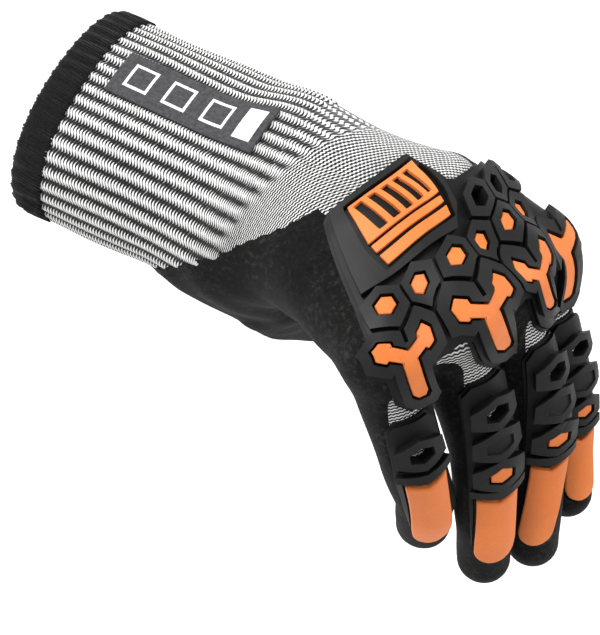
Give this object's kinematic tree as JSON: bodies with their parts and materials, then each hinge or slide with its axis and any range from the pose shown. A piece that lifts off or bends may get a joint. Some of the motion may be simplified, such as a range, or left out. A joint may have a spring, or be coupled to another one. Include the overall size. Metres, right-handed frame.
{
  "type": "impact work glove",
  "caption": "Left-hand knitted work glove with ribbed cuff, dipped palm coating and moulded rubber impact guards on the back of the hand and fingers, in its worn shape.",
  "frame": {"origin": "middle of the cuff's mouth, where the wrist goes in", "axes": "+X from the cuff towards the hand, +Z out of the back of the hand, thumb towards -Y"},
  "size_m": [0.1746, 0.0962, 0.125],
  "materials": {
    "knit": "black and white plaited knit, matte",
    "hem": "overlocked dark yarn, matte",
    "coating": "sandy dipped foam, matte",
    "guard": "moulded rubber, satin",
    "orange": "moulded rubber, satin",
    "label": "heat-set plain patch, matte"
  },
  "bodies": {
    "root": {"knit_liner": "knit", "cuff_hem": "hem", "palm_coating": "coating", "back_guard": "guard", "cuff_label": "label", "index_guard": "guard", "index_tip_pad": "orange", "y_insert_index": "orange", "middle_guard": "guard", "middle_tip_pad": "orange", "y_insert_middle": "orange", "ring_guard": "guard", "ring_tip_pad": "orange", "y_insert_ring": "orange", "little_guard": "guard", "little_tip_pad": "orange", "y_insert_little": "orange", "middle_plug": "orange", "ring_plug": "orange", "little_plug": "orange", "hex_plug_1": "orange", "hex_plug_2": "orange", "hex_plug_3": "orange", "hex_plug_4": "orange", "hex_plug_5": "orange", "hex_plug_6": "orange", "panel_frame": "orange", "panel_bar_upper": "orange", "panel_bar_lower": "orange"}
  },
  "joints": []
}
